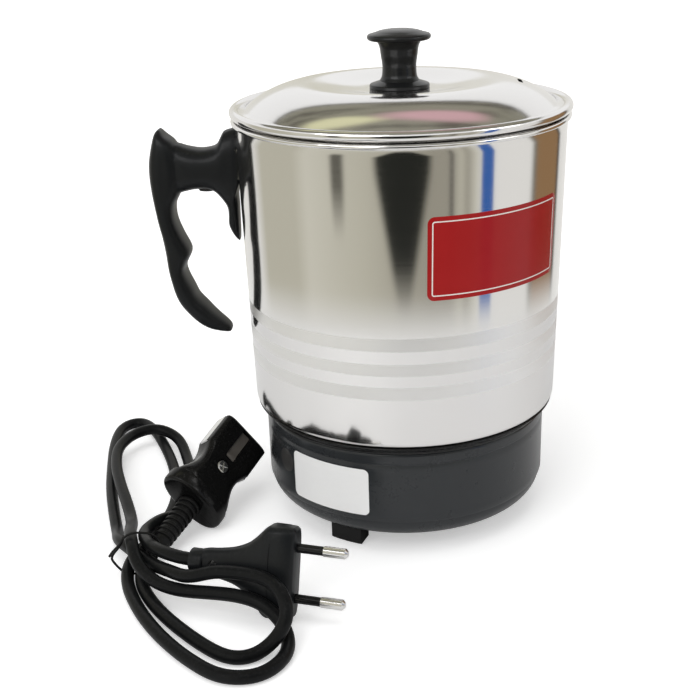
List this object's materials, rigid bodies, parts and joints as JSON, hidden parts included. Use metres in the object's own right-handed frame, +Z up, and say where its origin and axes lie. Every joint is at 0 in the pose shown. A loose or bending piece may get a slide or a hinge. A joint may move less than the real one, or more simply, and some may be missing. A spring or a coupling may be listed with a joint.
{
  "type": "electric heating cup",
  "caption": "Steel cup on a heated plastic base, with a lift-off lid, a side grip, a rear power inlet and a separate cord set tied in a bundle.",
  "frame": {"origin": "middle of the appliance's own box on the surface that its feet stand on, without the cord set; the axis of the cup is 17.1 mm along +X", "axes": "+Z up along the axis of the cup, -X to the handle, +Y to the power inlet"},
  "size_m": [0.2093, 0.2071, 0.1975],
  "materials": {
    "cup_steel": "satin, with three matt bands",
    "lid_steel": "polished",
    "fastener_steel": "plain",
    "handle_plastic": "fine texture",
    "knob_plastic": "fine texture",
    "base_plastic": "glossy",
    "collar_plastic": "glossy",
    "foot_rubber": "matt",
    "plate_aluminium": "rolled",
    "element_tube": "drawn",
    "insulation": "pressed sheet",
    "thermostat_ceramic": "plain",
    "fuse_sleeve": "woven sleeve",
    "lead_insulation": "plain",
    "contact_brass": "plain",
    "pin_nickel": "plated",
    "connector_plastic": "fine texture",
    "sleeve_rubber": "matt",
    "cord_pvc": "satin",
    "tie_plastic": "satin",
    "plug_rubber": "satin"
  },
  "bodies": {
    "kettle": {"cup": "cup_steel", "handle_bracket": "cup_steel", "handle": "handle_plastic", "handle_screw": "fastener_steel", "collar_ring": "collar_plastic", "base_housing": "base_plastic", "bottom_cover": "base_plastic", "feet": "foot_rubber", "cover_screws": "fastener_steel", "heat_plate": "plate_aluminium", "heating_element": "element_tube", "insulation_sheet": "insulation", "clamp_plate": "fastener_steel", "centre_nut": "fastener_steel", "thermostat": "thermostat_ceramic", "thermal_fuse": "fuse_sleeve", "inlet_block": "collar_plastic", "inlet_pins": "contact_brass", "earth_contacts": "pin_nickel", "inner_leads": "lead_insulation", "connector_upper": "connector_plastic", "connector_lower": "connector_plastic", "connector_sockets": "contact_brass", "connector_earths": "pin_nickel", "connector_screw": "fastener_steel", "cord_sleeve": "sleeve_rubber", "cord": "cord_pvc", "twist_tie": "tie_plastic", "plug_body": "plug_rubber", "plug_pins": "pin_nickel", "plug_pin_sleeves": "collar_plastic"},
    "lid": {"lid": "lid_steel", "lid_ring": "lid_steel", "lid_knob": "knob_plastic", "knob_washer": "fastener_steel", "knob_screw": "fastener_steel"}
  },
  "joints": [
    {"name": "lid_lift", "type": "slide", "parent": "kettle", "child": "lid", "axis": [0, 0, 1], "range_m": [0, 0.08]}
  ]
}
